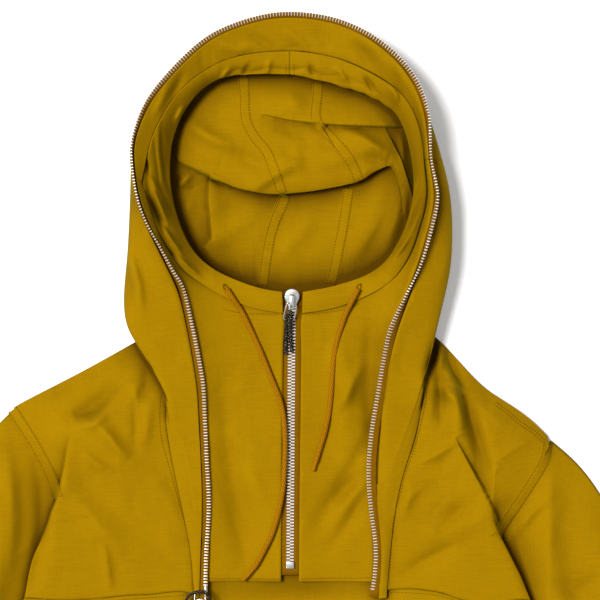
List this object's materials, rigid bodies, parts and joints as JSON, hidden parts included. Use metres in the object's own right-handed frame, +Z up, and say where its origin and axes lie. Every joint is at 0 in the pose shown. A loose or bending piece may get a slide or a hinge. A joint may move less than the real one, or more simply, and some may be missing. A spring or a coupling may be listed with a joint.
{
  "type": "hooded anorak pullover",
  "caption": "Hooded pullover anorak laid flat on its back, with a long zip round the hood, a quarter zip and a drawcord in the hood's tunnel.",
  "frame": {"origin": "on the underside of the back, on the floor it lies on, under the chest near the quarter zip", "axes": "+Z up out of the front of the garment, +Y from the hem to the hood, +X to the wearer's left sleeve as it is seen from above"},
  "size_m": [0.9904, 1.0179, 0.0655],
  "materials": {
    "cloth": "plain weave with a low sheen",
    "zip_tape": "matt woven tape",
    "zip_metal": "polished nickel",
    "drawcord": "round braid",
    "pull_cord": "fine black braid"
  },
  "bodies": {
    "garment": {"back": "cloth", "band_left": "cloth", "band_right": "cloth", "bib_left": "cloth", "bib_right": "cloth", "chest_left": "cloth", "chest_right": "cloth", "cord_left": "drawcord", "cord_right": "drawcord", "front_lower": "cloth", "hood_centre": "cloth", "hood_facing": "cloth", "hood_left": "cloth", "hood_right": "cloth", "hood_zip_slider": "zip_metal", "hood_zip_tape": "zip_tape", "neck_zip_slider": "zip_metal", "neck_zip_stop": "zip_metal", "neck_zip_tape": "zip_tape", "sleeve_left": "cloth", "sleeve_right": "cloth"},
    "neck_pull": {"neck_zip_pull": "zip_metal", "neck_zip_pull_cord": "pull_cord"},
    "hood_pull": {"hood_zip_pull": "zip_metal", "hood_zip_pull_cord": "pull_cord"}
  },
  "joints": [
    {"name": "neck_pull_swing", "type": "hinge", "parent": "garment", "child": "neck_pull", "pos_m": [0.002, 0.2965, 0.0378], "axis": [-0.9781, 0.2079, 0], "range_deg": [0, 120]},
    {"name": "hood_pull_swing", "type": "hinge", "parent": "garment", "child": "hood_pull", "pos_m": [-0.09, -0.0132, 0.0296], "axis": [1, 0, 0], "range_deg": [0, 120]}
  ]
}
